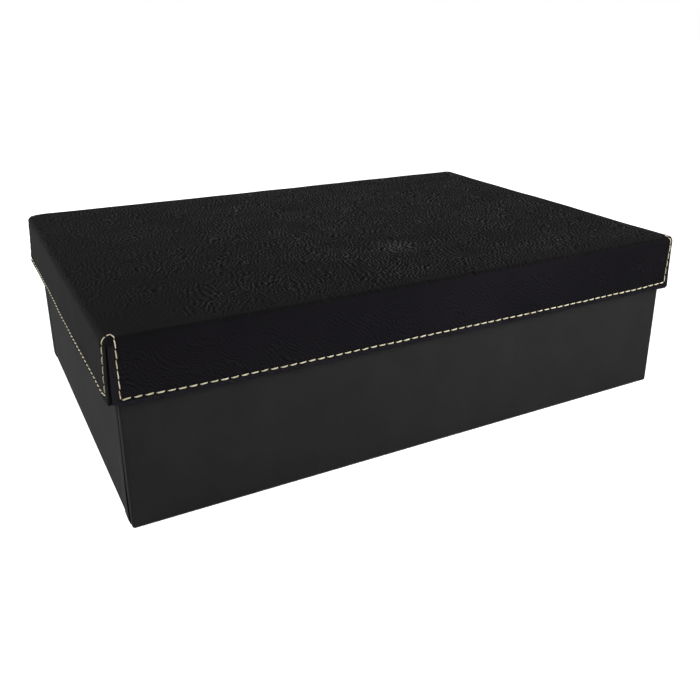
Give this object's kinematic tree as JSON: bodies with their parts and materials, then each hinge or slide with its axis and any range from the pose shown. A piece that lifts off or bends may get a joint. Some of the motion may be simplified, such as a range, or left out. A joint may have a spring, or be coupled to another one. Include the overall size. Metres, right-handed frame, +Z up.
{
  "type": "stationery box",
  "caption": "Rectangular paper box with a plain paper-covered base and a deep lift-off leatherette lid, top-stitched along its rim and round slit corners.",
  "frame": {"origin": "centre of the closed box's footprint, on the surface it stands on", "axes": "+X along the long sides towards the right short side, -Y towards the front long side, +Z up"},
  "size_m": [0.3508, 0.2508, 0.1004],
  "materials": {
    "lid_leatherette": "fine pebble grain, semi-matt black",
    "stitching_thread": "cream twisted thread",
    "cover_paper": "smooth charcoal covering paper",
    "lining_paper": "plain matt dark grey lining paper",
    "grey_board": "unfinished grey board"
  },
  "bodies": {
    "base": {"base_bottom_cover": "cover_paper", "base_infill": "lining_paper", "base_floor_board": "grey_board", "base_front_board": "grey_board", "base_rear_board": "grey_board", "base_left_board": "grey_board", "base_right_board": "grey_board", "base_front_cover": "cover_paper", "base_rear_cover": "cover_paper", "base_left_cover": "cover_paper", "base_right_cover": "cover_paper", "base_floor_lining": "lining_paper", "base_wall_lining": "lining_paper"},
    "lid": {"lid_skin": "lid_leatherette", "lid_top_board": "grey_board", "lid_front_board": "grey_board", "lid_rear_board": "grey_board", "lid_left_board": "grey_board", "lid_right_board": "grey_board", "lid_corner_backings": "lid_leatherette", "lid_lining": "lining_paper", "front_rim_stitching": "stitching_thread", "rear_rim_stitching": "stitching_thread", "left_rim_stitching": "stitching_thread", "right_rim_stitching": "stitching_thread", "front_left_arch_stitching": "stitching_thread", "front_right_arch_stitching": "stitching_thread", "rear_left_arch_stitching": "stitching_thread", "rear_right_arch_stitching": "stitching_thread"}
  },
  "joints": [
    {"name": "lid_lift", "type": "slide", "parent": "base", "child": "lid", "axis": [0, 0, 1], "range_m": [0, 0.12]}
  ]
}
